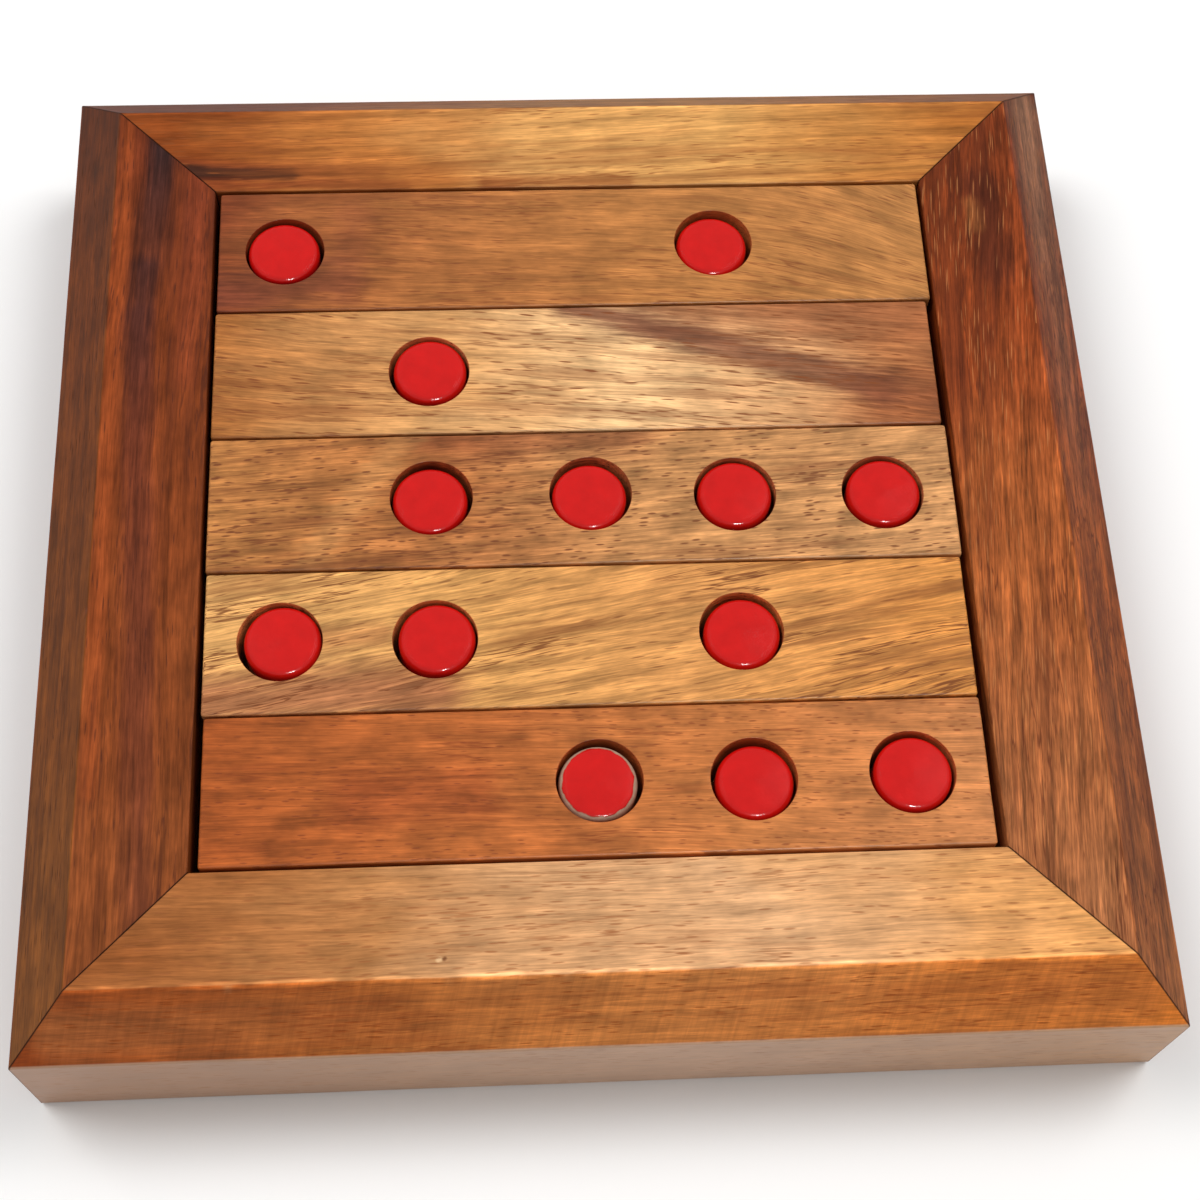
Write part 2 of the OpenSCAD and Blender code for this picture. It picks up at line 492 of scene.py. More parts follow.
class WoodGraph(Graph):
    """The shader graph of one board. Its places are in millimetres from the board's middle."""

    def __init__(self, tree: bpy.types.NodeTree, finish: WoodFinish, board: Board) -> None:
        """Starts on a tree with what all the layers share.

        Args:
            tree: The material's tree.
            finish: The board's finish.
            board: Where the board lies.
        """
        super().__init__(tree)
        self.finish = finish
        self.board = board
        self.place = board.place(self)
        self.along, self.across, self.up = self.split(self.place)
        self.figure = self.bent()
        self.fibre = self.streaks(self.figure, Streak.FIBRE)

    def depth(self) -> Socket:
        """Adds the distance inwards from the outer face."""
        return self.plus(self.across, self.board.size.y / 2 / MM)

    def drop(self) -> Socket:
        """Adds the distance down from the top."""
        return self.minus(self.board.size.z / 2 / MM, self.up)

    def bent(self) -> Socket:
        """Bends the board's place so that straight patterns follow the grain.

        Returns:
            The bent place, moved by the seed.
        """
        finish = self.finish
        seeded = self.move(self.stretch(self.place, (0.012, 0.05, 0.05)), (finish.seed, 0.0, 0.0))
        climb = self.times(self.along, -finish.slope)
        aside = self.line(self.noise(seeded, 1.0, 3.0), 2 * finish.bend, climb)
        start, curve = finish.droop
        past = self.math("MAXIMUM", self.minus(self.along, start), 0.0)
        aside = self.line(self.times(past, past), curve, aside)
        return self.move(self.place, self.xyz(finish.seed * 37.0, aside, 0.0))

    def grown(self, hair: Socket, pore: Socket) -> Socket:
        """Adds the colour of the bare board, before any work on it.

        Args:
            hair: The finest fibres.
            pore: The pores.

        Returns:
            The colour.
        """
        finish = self.finish
        colour = self.ground()
        for stain in finish.stains:
            colour = self.blend(self.stained(stain), colour, stain.colour)
        cloud = self.streaks(self.figure, Streak.CLOUD)
        for share, layer in ((finish.fibre, self.fibre), (finish.fibre * 0.6, hair), (finish.mottle, cloud)):
            colour = self.scale(colour, self.line(layer, 4 * share, 1 - 2 * share))
        colour = self.blend(self.veins(), self.scale(colour, self.rings()), finish.dark)
        return self.blend(self.times(pore, finish.pore_depth), colour, finish.pore_colour or finish.dark)

    def ground(self) -> Socket:
        """Adds the wood's ground colour, which changes along the board.

        Returns:
            The colour.
        """
        along = self.line(self.along, MM / self.board.size.x, 0.5)
        along = self.plus(along, self.line(self.streaks(self.place, Streak.PATCH), 0.3, -0.15))
        ramp = self.node("ShaderNodeValToRGB", {0: along})
        stops = ramp.color_ramp.elements
        for extra in range(len(self.finish.tones) - 2):
            stops.new(0.5)
        for stop, (spot, tone) in zip(stops, self.finish.tones):
            stop.position = spot
            stop.color = (*tone, 1.0)
        return ramp.outputs[0]

    def stained(self, stain: Stain) -> Socket:
        """Adds the share that a stain covers.

        Args:
            stain: The stain, whose border the fibres fray.

        Returns:
            The share, from 0 to the stain's strength.
        """
        start, end = Vector((*stain.start, 0.0)), Vector((*stain.end, 0.0))
        line = end - start
        away = self.between(self.stretch(self.place, (1.0, 1.0, 0.0)), start)
        share = self.math("DIVIDE", self.vector("DOT_PRODUCT", away, line), line.length_squared, clamp=True)
        rest = self.between(away, self.scale(line, share))
        gap = self.line(self.streaks(self.place, Streak.STAIN_EDGE), 2 * stain.fray, self.length(rest))
        gap = self.minus(self.line(self.fibre, 4 * stain.fray, gap), 3 * stain.fray)
        most = self.line(share, -stain.fade * stain.strength, stain.strength)
        return self.ramp(gap, 0.15 * stain.reach, stain.reach, most, 0.0)

    def veins(self) -> Socket:
        """Adds the long dark veins: blurred patches, and thin broken lines along the grain.

        Returns:
            How much they cover, from 0 to the finish's own limit.
        """
        share = self.finish.vein_share
        drawn = self.streaks(self.figure, Streak.VEIN)
        crowd = self.streaks(self.figure, Streak.VEIN_CROWD)
        level = self.line(crowd, -0.3, 0.85 - 0.4 * share)
        patch = self.ramp(drawn, level, self.plus(level, 0.16), 0.0, 0.7)
        thread = self.ramp(self.math("ABSOLUTE", self.minus(drawn, 0.5)), 0.003, 0.02, 1.0, 0.0)
        thread = self.times(thread, self.ramp(crowd, 0.62 - 0.4 * share, 0.72 - 0.4 * share))
        return self.times(self.math("MAXIMUM", patch, thread), self.finish.vein)

    def rings(self) -> Socket:
        """Adds the growth rings.

        Returns:
            The brightness that they leave, 1 or less.
        """
        finish = self.finish
        heart = self.move(self.stretch(self.figure, (0.0, 1.0, 1.0)),
                          (0.0, -finish.pith[0] - finish.bend, -finish.pith[1]))
        count = self.math("DIVIDE", self.length(heart), finish.ring_gap)
        phase = self.math("FRACT", self.line(self.streaks(self.figure, Streak.RING_WAVE), 1.6, count))
        late = self.times(self.ramp(phase, 0.1, 0.86), self.ramp(phase, 1.0, 0.88))
        return self.line(late, -finish.ring_contrast, 1 + finish.ring_contrast / 3)

    def pores(self) -> Socket:
        """Adds the pores, thin dashes along the grain.

        Returns:
            1 inside a pore and 0 in the wood between.
        """
        reach = 0.3
        length, width = self.finish.pore_size
        shake = self.streaks(self.figure, Streak.PORE_SHAKE)
        spot = self.stretch(self.figure, (2 * reach / length, 2 * reach / width, 2 * reach / width))
        spot = self.move(spot, self.xyz(0.0, self.times(shake, 0.5), 0.0))
        cells = self.node("ShaderNodeTexVoronoi", {"Vector": spot, "Scale": 1.0})
        luck = self.split(cells.outputs["Color"])[0]
        crowd = self.streaks(self.figure, Streak.PORE_CROWD)
        limit = self.ramp(crowd, 0.28, 0.72, 0.0, 2.0 * self.finish.pores)
        there = self.ramp(luck, limit, self.plus(limit, 0.08), 1.0, 0.0)
        return self.times(there, self.ramp(cells.outputs["Distance"], 0.45 * reach, reach, 1.0, 0.0))

    def sanding(self, chamfer: float) -> tuple[Socket, Socket]:
        """Adds slanting scratches on the wide chamfer.

        Args:
            chamfer: The chamfer's width.

        Returns:
            1 on the chamfer and 0 elsewhere, and the scratches, a number around 0 on the chamfer.
        """
        depth = self.depth()
        there = self.ramp(self.plus(depth, self.drop()), chamfer + 0.05, chamfer + 0.2, 1.0, 0.0)
        slant = self.line(depth, -0.35, self.along)
        marks = self.noise(self.xyz(slant, self.times(depth, 0.06), self.finish.seed), 1.3, 4.0, 0.7)
        return there, self.times(there, self.line(marks, 2.0, -1.0))

    def rail_colour(self, colour: Socket, there: Socket, marks: Socket, chamfer: float) -> Socket:
        """Adds what the chamfer, the outer face and the mitres do to a rail's colour, with the painted shade,
        reflection and highlight that stand in for the light on them.

        Args:
            colour: The colour so far.
            there: 1 on the wide chamfer and 0 elsewhere.
            marks: The scratches on it.
            chamfer: Its width.

        Returns:
            The colour.
        """
        finish = self.finish
        colour = self.scale(colour, self.line(marks, finish.sanding, 1.0))
        face = self.ramp(self.depth(), 0.15, 0.35, 1.0, 0.0)
        # Painted light: shade on the chamfer, and shade and a reflection-like grey on the outer face.
        tint = self.blend(face, self.blend(there, PLAIN, finish.chamfer_tint), finish.face_tint)
        # The outer face is partly covered by a painted reflection of the pale floor.
        colour = self.blend(self.times(face, finish.face_haze), self.stretch(colour, tint), BLOOM)
        colour = self.blend(self.joint_line(), colour, GLUE)
        # Painted highlight, partly wear: the upper edge of the wide chamfer is made paler.
        return self.scale(colour, self.line(self.worn_arris(chamfer), finish.wear, 1.0))

    def joint_line(self) -> Socket:
        """Adds the dark glue line of the two mitred ends.

        Returns:
            How much the line covers.
        """
        to_end = self.minus(self.board.size.x / 2 / MM, self.math("ABSOLUTE", self.along))
        wear = self.noise(self.scale(self.place, 0.25), 1.0, 2.0)
        return self.ramp(self.minus(to_end, self.depth()), 0.06, 0.26, self.line(wear, 0.8, 0.3), 0.0)

    def worn_arris(self, chamfer: float) -> Socket:
        """Adds the pale line along the upper edge of the wide chamfer, partly wear and partly a painted
        highlight.

        Args:
            chamfer: The chamfer's width.

        Returns:
            How pale the edge is made, as wear and as a painted highlight.
        """
        away = self.length(self.xyz(self.minus(self.depth(), chamfer), self.drop(), 0.0))
        patchy = self.ramp(self.streaks(self.place, Streak.WEAR), 0.35, 0.65)
        return self.times(self.ramp(away, 0.2, 0.7, 1.0, 0.0), patchy)


@dataclass(frozen=True)
class PaintFinish:
    """Gloss paint on the top of a bare dowel. Lengths are in millimetres.

    Attributes:
        colour: The paint.
        bare: The dowel.
        reach: How far down the paint goes.
        cover: Radius that the paint covers on the top, more than the dowel's for all of it.
        roughness: Roughness of the paint.
        gloss: Strength of its mirror reflection.
    """

    colour: Colour = shade(212, 17, 15)
    bare: Colour = shade(186, 146, 106)
    reach: float = 3.2
    cover: float = 6.0
    roughness: float = 0.16
    gloss: float = 0.36

    def material(self, name: str, centre: Vector, top: float, seed: float) -> bpy.types.Material:
        """Makes the material of one peg.

        Args:
            name: The material's name.
            centre: A point on the peg's axis.
            top: Height of the peg's top.
            seed: Picks the peg's own pattern.

        Returns:
            The material.
        """
        made, surface = blank_material(name)
        graph = Graph(made.node_tree)
        place = graph.result("ShaderNodeMapping", {
            "Vector": graph.node("ShaderNodeTexCoord").outputs["Object"],
            "Location": (-centre.x / MM, -centre.y / MM, -top / MM), "Scale": (1 / MM, 1 / MM, 1 / MM)})
        moved = graph.move(place, (seed * 11.0, seed * 7.0, 0.0))
        edge = graph.noise(moved, 0.7, 3.0)
        out = graph.length(graph.stretch(place, (1.0, 1.0, 0.0)))
        down = graph.times(graph.split(place)[2], -1.0)
        low = graph.line(edge, 2.4, graph.minus(down, self.reach + 1.2))
        wide = graph.line(edge, 0.8, graph.minus(out, self.cover + 0.4))
        painted = graph.ramp(graph.math("MAXIMUM", low, wide), -0.05, 0.1, 1.0, 0.0)
        fibre = graph.noise(graph.stretch(moved, (2.5, 2.5, 0.1)), 1.0, 4.0)
        wood = graph.scale(self.bare, graph.line(fibre, 0.6, 0.7))
        cloud = graph.noise(moved, 0.45, 3.0)
        paint = graph.blend(cloud, tuple(0.72 * part for part in self.colour), self.colour)
        graph.feed(surface.inputs["Base Color"], graph.blend(painted, wood, paint))
        gloss = graph.line(cloud, 0.14, self.roughness - 0.07)
        graph.feed(surface.inputs["Roughness"], graph.plus(gloss, graph.line(painted, -0.45, 0.45)))
        lumps = graph.line(graph.noise(moved, 1.6, 2.0), 0.6, graph.times(painted, 0.8))
        graph.feed(surface.inputs["Normal"], graph.result("ShaderNodeBump", {
            "Height": lumps, "Strength": 0.5, "Distance": 0.12 * MM}))
        surface.inputs["Specular IOR Level"].default_value = self.gloss
        return made


class Recipe:
    """A geometry tree with named inputs, and the modifier that runs it on an object."""

    def __init__(self, name: str, numbers: Sequence[str]) -> None:
        """Starts a tree.

        Args:
            name: The tree's name.
            numbers: Names of its number inputs.
        """
        self.tree = bpy.data.node_groups.new(name, "GeometryNodeTree")
        face = self.tree.interface
        face.new_socket("Geometry", in_out="OUTPUT", socket_type="NodeSocketGeometry")
        face.new_socket("Geometry", in_out="INPUT", socket_type="NodeSocketGeometry")
        self.keys = {}
        for key, kind in [(number, "Float") for number in numbers] + [("Material", "Material")]:
            made = face.new_socket(key, in_out="INPUT", socket_type=f"NodeSocket{kind}")
            self.keys[key] = made.identifier
        self.graph = Graph(self.tree)
        self.given = self.graph.node("NodeGroupInput").outputs

    def outline(self, steps: int) -> Socket:
        """Turns the seedling's line into a curve and rounds its corners by their attribute ease.

        Args:
            steps: Faces across a rounded corner.

        Returns:
            The curve.
        """
        graph = self.graph
        curve = graph.shape("MeshToCurve", {0: self.given["Geometry"]})
        return graph.shape("FilletCurve", {
            "Curve": curve, "Radius": graph.named("ease"), "Limit Radius": True, "Count": steps}, mode="POLY")

    def seeded_place(self, stride: float) -> Socket:
        """Adds a point's place in millimetres, moved by a stride for each step of the seed."""
        aside = self.graph.xyz(self.graph.times(self.given["Seed"], stride), 0.0, 0.0)
        return self.graph.move(self.graph.scale(self.graph.position(), 1 / MM), aside)

    def end(self, shape: Socket, marks: Sequence[str] = ()) -> None:
        """Ends the tree in real, smooth faces that carry the material.

        Args:
            shape: The finished geometry.
            marks: Attributes that it no longer needs.
        """
        graph = self.graph
        for mark in marks:
            shape = graph.shape("RemoveAttribute", {0: shape, "Name": mark})
        smooth = graph.shape("SetShadeSmooth", {0: graph.shape("RealizeInstances", {0: shape})})
        dressed = graph.shape("SetMaterial", {0: smooth, "Material": self.given["Material"]})
        graph.node("NodeGroupOutput", {0: dressed})

    def run(self, seedling: bpy.types.Object, material: bpy.types.Material, **values: float) -> None:
        """Puts the tree on an object as a modifier.

        Args:
            seedling: The object that the tree starts from.
            material: The material that it sets.
            **values: Its number inputs, with _ for each space.
        """
        modifier = seedling.modifiers.new(self.tree.name, "NODES")
        modifier.node_group = self.tree
        modifier[self.keys["Material"]] = material
        for name, value in values.items():
            modifier[self.keys[name.replace("_", " ")]] = value


def linked(name: str, data: bpy.types.ID) -> bpy.types.Object:
    """Makes an object and links it to the scene.

    Args:
        name: The object's name.
        data: Its mesh, lamp or camera.

    Returns:
        The object.
    """
    made = bpy.data.objects.new(name, data)
    bpy.context.scene.collection.objects.link(made)
    return made


def seedling(name: str, points: Sequence[Vector], edges: Sequence[tuple[int, int]],
             marks: Mapping[str, Sequence[Any]]) -> bpy.types.Object:
    """Makes the small mesh that a geometry tree starts from.

    Args:
        name: The object's name.
        points: Its points.
        edges: Pairs of point numbers.
        marks: Attribute names, each with a number or a vector for every point.

    Returns:
        The object, linked to the scene.
    """
    mesh = bpy.data.meshes.new(name)
    mesh.from_pydata([tuple(point) for point in points], list(edges), [])
    for key, values in marks.items():
        is_number = isinstance(values[0], float)
        attribute = mesh.attributes.new(key, "FLOAT" if is_number else "FLOAT_VECTOR", "POINT")
        for item, value in zip(attribute.data, values):
            setattr(item, "value" if is_number else "vector", value)
    return linked(name, mesh)


def frozen(shape: bpy.types.Object, bevel: float, segments: int = 3,
           by_weight: bool = False) -> bpy.types.Object:
    """Rounds an object's edges and turns its evaluated form into a plain mesh.

    Args:
        shape: The object, with its geometry modifier.
        bevel: Width of the rounded edges.
        segments: Steps across a rounded edge.
        by_weight: Whether only edges with a bevel weight are rounded.

    Returns:
        The same object with a plain mesh and no modifiers.
    """
    if bevel:
        rounding = shape.modifiers.new("edges", "BEVEL")
        rounding.width = bevel
        rounding.segments = segments
        rounding.limit_method = "WEIGHT" if by_weight else "ANGLE"
        rounding.angle_limit = math.radians(35)
        rounding.miter_outer = "MITER_ARC"
        shape.modifiers.new("normals", "WEIGHTED_NORMAL")
    evaluated = shape.evaluated_get(bpy.context.evaluated_depsgraph_get())
    mesh = bpy.data.meshes.new_from_object(evaluated)
    shape.modifiers.clear()
    shape.data = mesh
    mesh.name = shape.name
    return shape


def placed(piece: bpy.types.Object, node: str, body: str, slot: str) -> None:
    """Hands a finished piece to the frame.

    Args:
        piece: The piece.
        node: The CAD node that it stands for.
        body: The body that it moves with.
        slot: The record's material slot. It is not used.
    """
    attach(piece, body)
    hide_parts(node)
    LOG.info("%s: %d faces on %s", piece.name, len(piece.data.polygons), body)


@dataclass
class RailSection:
    """The cross-section of a rail. Depths run inwards from the outer face.

    Attributes:
        width: Width of the rail.
        height: Height of the rail.
        groove_depth: Depth of the floor panel's groove.
        groove_low: Height of the groove's lower wall.
        groove_high: Height of its upper wall.
        chamfer: Width and drop of the wide chamfer.
        ease: Radius of the eased edges.
        guard: Distance from the chamfer's upper edge to the extra points that keep its nicks short.
    """

    width: float
    height: float
    groove_depth: float
    groove_low: float
    groove_high: float
    chamfer: float = 7.4 * MM
    ease: float = 0.6 * MM
    guard: float = 1.1 * MM

    def corners(self) -> list[tuple[float, float, float]]:
        """Lists the corners, each as its depth, its height and its easing radius."""
        groove = self.width - self.groove_depth
        return [
            (0.0, 0.0, self.ease), (self.width, 0.0, self.ease / 2),
            (self.width, self.groove_low, 0.0), (groove, self.groove_low, 0.0),
            (groove, self.groove_high, 0.0), (self.width, self.groove_high, 0.0),
            (self.width, self.height, self.ease / 2), (self.chamfer + self.guard, self.height, 0.0),
            (self.chamfer, self.height, self.ease),
            (self.chamfer - self.guard, self.height - self.guard, 0.0),
            (0.0, self.height - self.chamfer, self.ease)]


@dataclass
class Tray:
    """The mitred frame and its floor panel.

    Attributes:
        finishes: The finish of each rail.
        floor_finish: The finish of the floor panel.
        step: Length of a mesh face along a rail.
        sway: How far hand sanding leaves the faces from flat.
        nick: Depth of the largest nicks in the eased edges.
        edge: Width of the bevel on the mitred ends.
        panel_edge: Width of the bevel on the floor panel.
        groove_play: Play of the floor panel in each groove.
        section: The rails' cross-section.
        side_length: Length of one side of the tray.
    """

    finishes: dict[Side, WoodFinish]
    floor_finish: WoodFinish
    step: float = 1.2 * MM
    sway: float = 0.07 * MM
    nick: float = 0.35 * MM
    edge: float = 0.09 * MM
    panel_edge: float = 0.3 * MM
    groove_play: float = 0.2 * MM
    section: RailSection = field(init=False)
    side_length: float = field(init=False)

    def __post_init__(self) -> None:
        """Reads the rails' sizes from the frame."""
        low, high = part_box("front_rail")
        panel_low, panel_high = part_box("tray_floor")
        inner = high.y
        self.side_length = high.x - low.x
        self.section = RailSection(width=high.y - low.y, height=high.z - low.z,
                                   groove_depth=inner - panel_low.y + self.groove_play,
                                   groove_low=panel_low.z, groove_high=panel_high.z)

    def recipe(self) -> Recipe:
        """Builds the tree that sweeps a section into a rail and mitres its ends.

        Returns:
            The recipe. It starts from a closed outline of depths and heights.
        """
        made = Recipe("mitred_rail", [
            "Side Length", "Step", "Turn", "Sway", "Nick", "Chamfer", "Height", "Seed"])
        graph, given = made.graph, made.given
        outline = graph.kept(made.outline(4), "section", graph.position(), "FLOAT_VECTOR")
        line = graph.shape("CurvePrimitiveLine", {"Start": (-1.0, 0.0, 0.0), "End": (1.0, 0.0, 0.0)})
        steps = graph.math("DIVIDE", given["Side Length"], given["Step"])
        line = graph.shape("ResampleCurve", {"Curve": line, "Count": steps})
        line = graph.kept(line, "along", graph.split(graph.position())[0])
        swept = graph.shape("CurveToMesh", {"Curve": line, "Profile Curve": outline, "Fill Caps": True})
        section = graph.named("section", "FLOAT_VECTOR")
        depth, height, _ = graph.split(section)
        half = graph.times(given["Side Length"], 0.5)
        spot = graph.xyz(graph.times(graph.named("along"), graph.minus(half, depth)),
                         graph.minus(depth, half), height)
        shaped = graph.shape("SetPosition", {0: swept, "Position": spot})
        place = made.seeded_place(400.0)
        soft = graph.times(graph.streaks(place, Streak.SWAY), given["Sway"])
        near = graph.length(graph.between(section, graph.xyz(given["Chamfer"], given["Height"], 0.0)))
        dents = graph.times(graph.ramp(graph.streaks(place, Streak.NICK), 0.62, 0.8),
                            graph.ramp(near, 0.2 * MM, 1.0 * MM, 1.0, 0.0))
        inwards = graph.times(graph.line(dents, given["Nick"], soft), -1.0)
        worn = graph.shape("SetPosition", {
            0: shaped, "Offset": graph.scale(graph.shape("InputNormal"), inwards)})
        turned = graph.shape("Transform", {"Geometry": worn, "Rotation": graph.xyz(0.0, 0.0, given["Turn"])})
        made.end(turned, ["section", "along", "ease"])
        return made

    def build(self) -> None:
        """Makes the four rails and the floor panel."""
        recipe = self.recipe()
        corners = self.section.corners()
        edges = [(index, (index + 1) % len(corners)) for index in range(len(corners))]
        for side, finish in self.finishes.items():
            node = f"{side.name.lower()}_rail"
            board = Board.of_node(node, side.value)
            rail = seedling(f"{node}_wood", [Vector((depth, height, 0.0)) for depth, height, _ in corners],
                            edges, {"ease": [ease for _, _, ease in corners]})
            recipe.run(rail, finish.material(f"{node}_varnished", board, self.section.chamfer),
                       Side_Length=self.side_length, Step=self.step, Turn=side.value * math.pi / 2,
                       Sway=self.sway, Nick=self.nick, Chamfer=self.section.chamfer,
                       Height=self.section.height, Seed=float(side.value))
            frozen(rail, self.edge, 2)
            placed(rail, node, "tray", "golden_rail" if side in (Side.FRONT, Side.BACK) else "dark_rail")
        self.build_floor()

    def build_floor(self) -> None:
        """Makes the floor panel."""
        low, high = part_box("tray_floor")
        mesh = bpy.data.meshes.new("tray_floor_ply")
        form = bmesh.new()
        bmesh.ops.create_cube(form, size=1.0)
        size = high - low
        bmesh.ops.scale(form, vec=size, verts=form.verts)
        bmesh.ops.translate(form, vec=(low + high) / 2, verts=form.verts)
        form.to_mesh(mesh)
        form.free()
        panel = linked("tray_floor_ply", mesh)
        board = Board.of_node("tray_floor", Run.LEFT_TO_RIGHT.value)
        mesh.materials.append(self.floor_finish.material("tray_floor_bare", board))
        frozen(panel, self.panel_edge, 2)
        placed(panel, "tray_floor", "tray", "floor_panel")


@dataclass
class SlatLayer:
    """Five slats side by side, each drilled where pegs go.

    Attributes:
        name: What each slat's node is called, before its number.
        slot: The record's material slot of each slat.
        run: The way the slats run.
        finishes: The finish of each slat.
        radius: Radius of the holes.
        facets: Mesh faces along one side of a slat's cell.
        rings: Rings of faces round a hole.
        ease: Radius of the eased edges.
        rim: Share of it that the rims of the holes get.
        wobble: How far a slat's outline wanders inwards.
        dip: How far its top is from flat.
    """

    name: str
    slot: Sequence[str]
    run: Run
    finishes: Sequence[WoodFinish]
    radius: float
    facets: int = 16
    rings: int = 6
    ease: float = 0.4 * MM
    rim: float = 0.25
    wobble: float = 0.12 * MM
    dip: float = 0.08 * MM

    def recipe(self) -> Recipe:
        """Builds the tree that joins plain and drilled cells into a slat.

        Returns:
            The recipe. It starts from one point for each cell, at the cell's middle.
        """
        made = Recipe(self.name, [
            "Cell Length", "Width", "Thickness", "Hole Radius", "Wobble", "Dip", "Turn",
            "Centre X", "Centre Y", "Base", "Seed", "Rim"])
        graph, given = made.graph, made.given
        plain = graph.shape("MeshGrid", {
            "Size X": given["Cell Length"], "Size Y": given["Width"],
            "Vertices X": self.facets + 1, "Vertices Y": self.facets + 1})
        drilled = graph.named("drilled")
        cells = [graph.shape("InstanceOnPoints", {
            "Points": given["Geometry"], "Selection": chosen, "Instance": shape})
            for shape, chosen in ((plain, graph.minus(1.0, drilled)), (self._drilled_cell(made), drilled))]
        sheet = graph.welded(graph.shape("RealizeInstances", {0: graph.joined(*cells)}), WELD)
        moved = graph.scale(graph.named("shift", "FLOAT_VECTOR"), graph.named("hole_share"))
        sheet = graph.shape("SetPosition", {0: sheet, "Offset": moved})
        sheet = self._frayed(made, sheet)
        solid = graph.node("GeometryNodeExtrudeMesh", {
            "Mesh": sheet, "Offset": graph.xyz(0.0, 0.0, 1.0), "Offset Scale": given["Thickness"],
            "Individual": False}, mode="FACES")
        low = graph.noise(graph.stretch(made.seeded_place(300.0), (0.06, 0.12, 0.0)), 1.0, 2.0)
        sunk = graph.xyz(0.0, 0.0, graph.times(graph.times(low, -1.0), given["Dip"]))
        worn = graph.shape("SetPosition", {
            0: solid.outputs["Mesh"], "Selection": solid.outputs["Top"], "Offset": sunk})
        slat = graph.welded(graph.joined(worn, graph.shape("FlipFaces", {0: sheet})), WELD)
        sharp = graph.math("GREATER_THAN", graph.shape("InputMeshEdgeAngle"), math.radians(50))
        rim = graph.math("GREATER_THAN", graph.named("hole_share"), 0.95)
        weight = graph.times(sharp, graph.result("ShaderNodeMix", {0: rim, 2: 1.0, 3: given["Rim"]}))
        slat = graph.kept(slat, "bevel_weight_edge", weight, domain="EDGE")
        slat = graph.shape("Transform", {
            "Geometry": slat, "Rotation": graph.xyz(0.0, 0.0, given["Turn"]),
            "Translation": graph.xyz(given["Centre X"], given["Centre Y"], given["Base"])})
        made.end(slat, ["shift", "drilled"])
        return made

    def _drilled_cell(self, made: Recipe) -> Socket:
        """Adds a cell whose faces run in rings from its border to a round hole.

        Args:
            made: The slat's recipe.

        Returns:
            The cell's mesh. Its attribute hole_share is 0 at the border and 1 at the hole.
        """
        graph, given = made.graph, made.given
        grid = graph.shape("MeshGrid", {
            "Size X": 4.0, "Size Y": 1.0, "Vertices X": 4 * self.facets + 1, "Vertices Y": self.rings + 1})
        spot = graph.split(graph.position())
        around = graph.plus(spot[0], 2.0)
        share = graph.math("POWER", graph.plus(spot[1], 0.5, clamp=True), 0.7)
        border = graph.xyz(self._square_wave(graph, around, 0.0), self._square_wave(graph, around, 1.0), 0.0)
        border = graph.stretch(border, graph.scale(graph.xyz(given["Cell Length"], given["Width"], 0.0), 0.5))
        angle = graph.line(around, math.pi / 2, -0.75 * math.pi)
        ring = graph.scale(graph.xyz(graph.math("COSINE", angle), graph.math("SINE", angle), 0.0),
                           given["Hole Radius"])
        mixed = graph.node("ShaderNodeMix", {0: share, 4: border, 5: ring}, data_type="VECTOR")
        cell = graph.kept(grid, "hole_share", share)
        return graph.shape("SetPosition", {0: cell, "Position": mixed.outputs[1]})

    @staticmethod
    def _square_wave(graph: Graph, around: Socket, lag: float) -> Socket:
        """Adds one coordinate of a walk round a square from -1 to 1, one side per unit.

        Args:
            graph: The tree's graph.
            around: How far the walk has come, from 0 to 4.
            lag: 0 for the X coordinate and 1 for the Y coordinate.

        Returns:
            The coordinate.
        """
        phase = graph.math("FLOORED_MODULO", graph.plus(around, 0.5 - lag), 4.0)
        peak = graph.math("ABSOLUTE", graph.minus(phase, 2.0))
        climb = graph.line(peak, -2.0, 2.0)
        return graph.math("MAXIMUM", graph.math("MINIMUM", climb, 1.0), -1.0)

    def _frayed(self, made: Recipe, sheet: Socket) -> Socket:
        """Adds a slight waver to the slat's outline.

        Args:
            made: The slat's recipe.
            sheet: The flat sheet of cells.

        Returns:
            The sheet with a wavering outline.
        """
        graph, given = made.graph, made.given
        place = graph.position()
        spot = graph.split(graph.vector("ABSOLUTE", place))
        half_length = graph.times(given["Cell Length"], len(ROWS) / 2)
        ends = graph.minus(half_length, spot[0])
        sides = graph.minus(graph.times(given["Width"], 0.5), spot[1])
        near = graph.ramp(graph.math("MINIMUM", ends, sides), 0.0, 2.5 * MM, 1.0, 0.0)
        seeded = graph.move(graph.scale(place, 0.14 / MM), graph.xyz(0.0, 0.0, given["Seed"]))
        noise = graph.node("ShaderNodeTexNoise", {"Vector": seeded, "Scale": 1.0, "Detail": 2.0}).outputs[1]
        inwards = graph.stretch(graph.vector("SIGN", place), (-1.0, -1.0, 0.0))
        waver = graph.stretch(graph.between(noise, (0.2, 0.2, 0.2)), inwards)
        offset = graph.scale(waver, graph.times(near, given["Wobble"]))
        return graph.shape("SetPosition", {0: sheet, "Offset": offset})

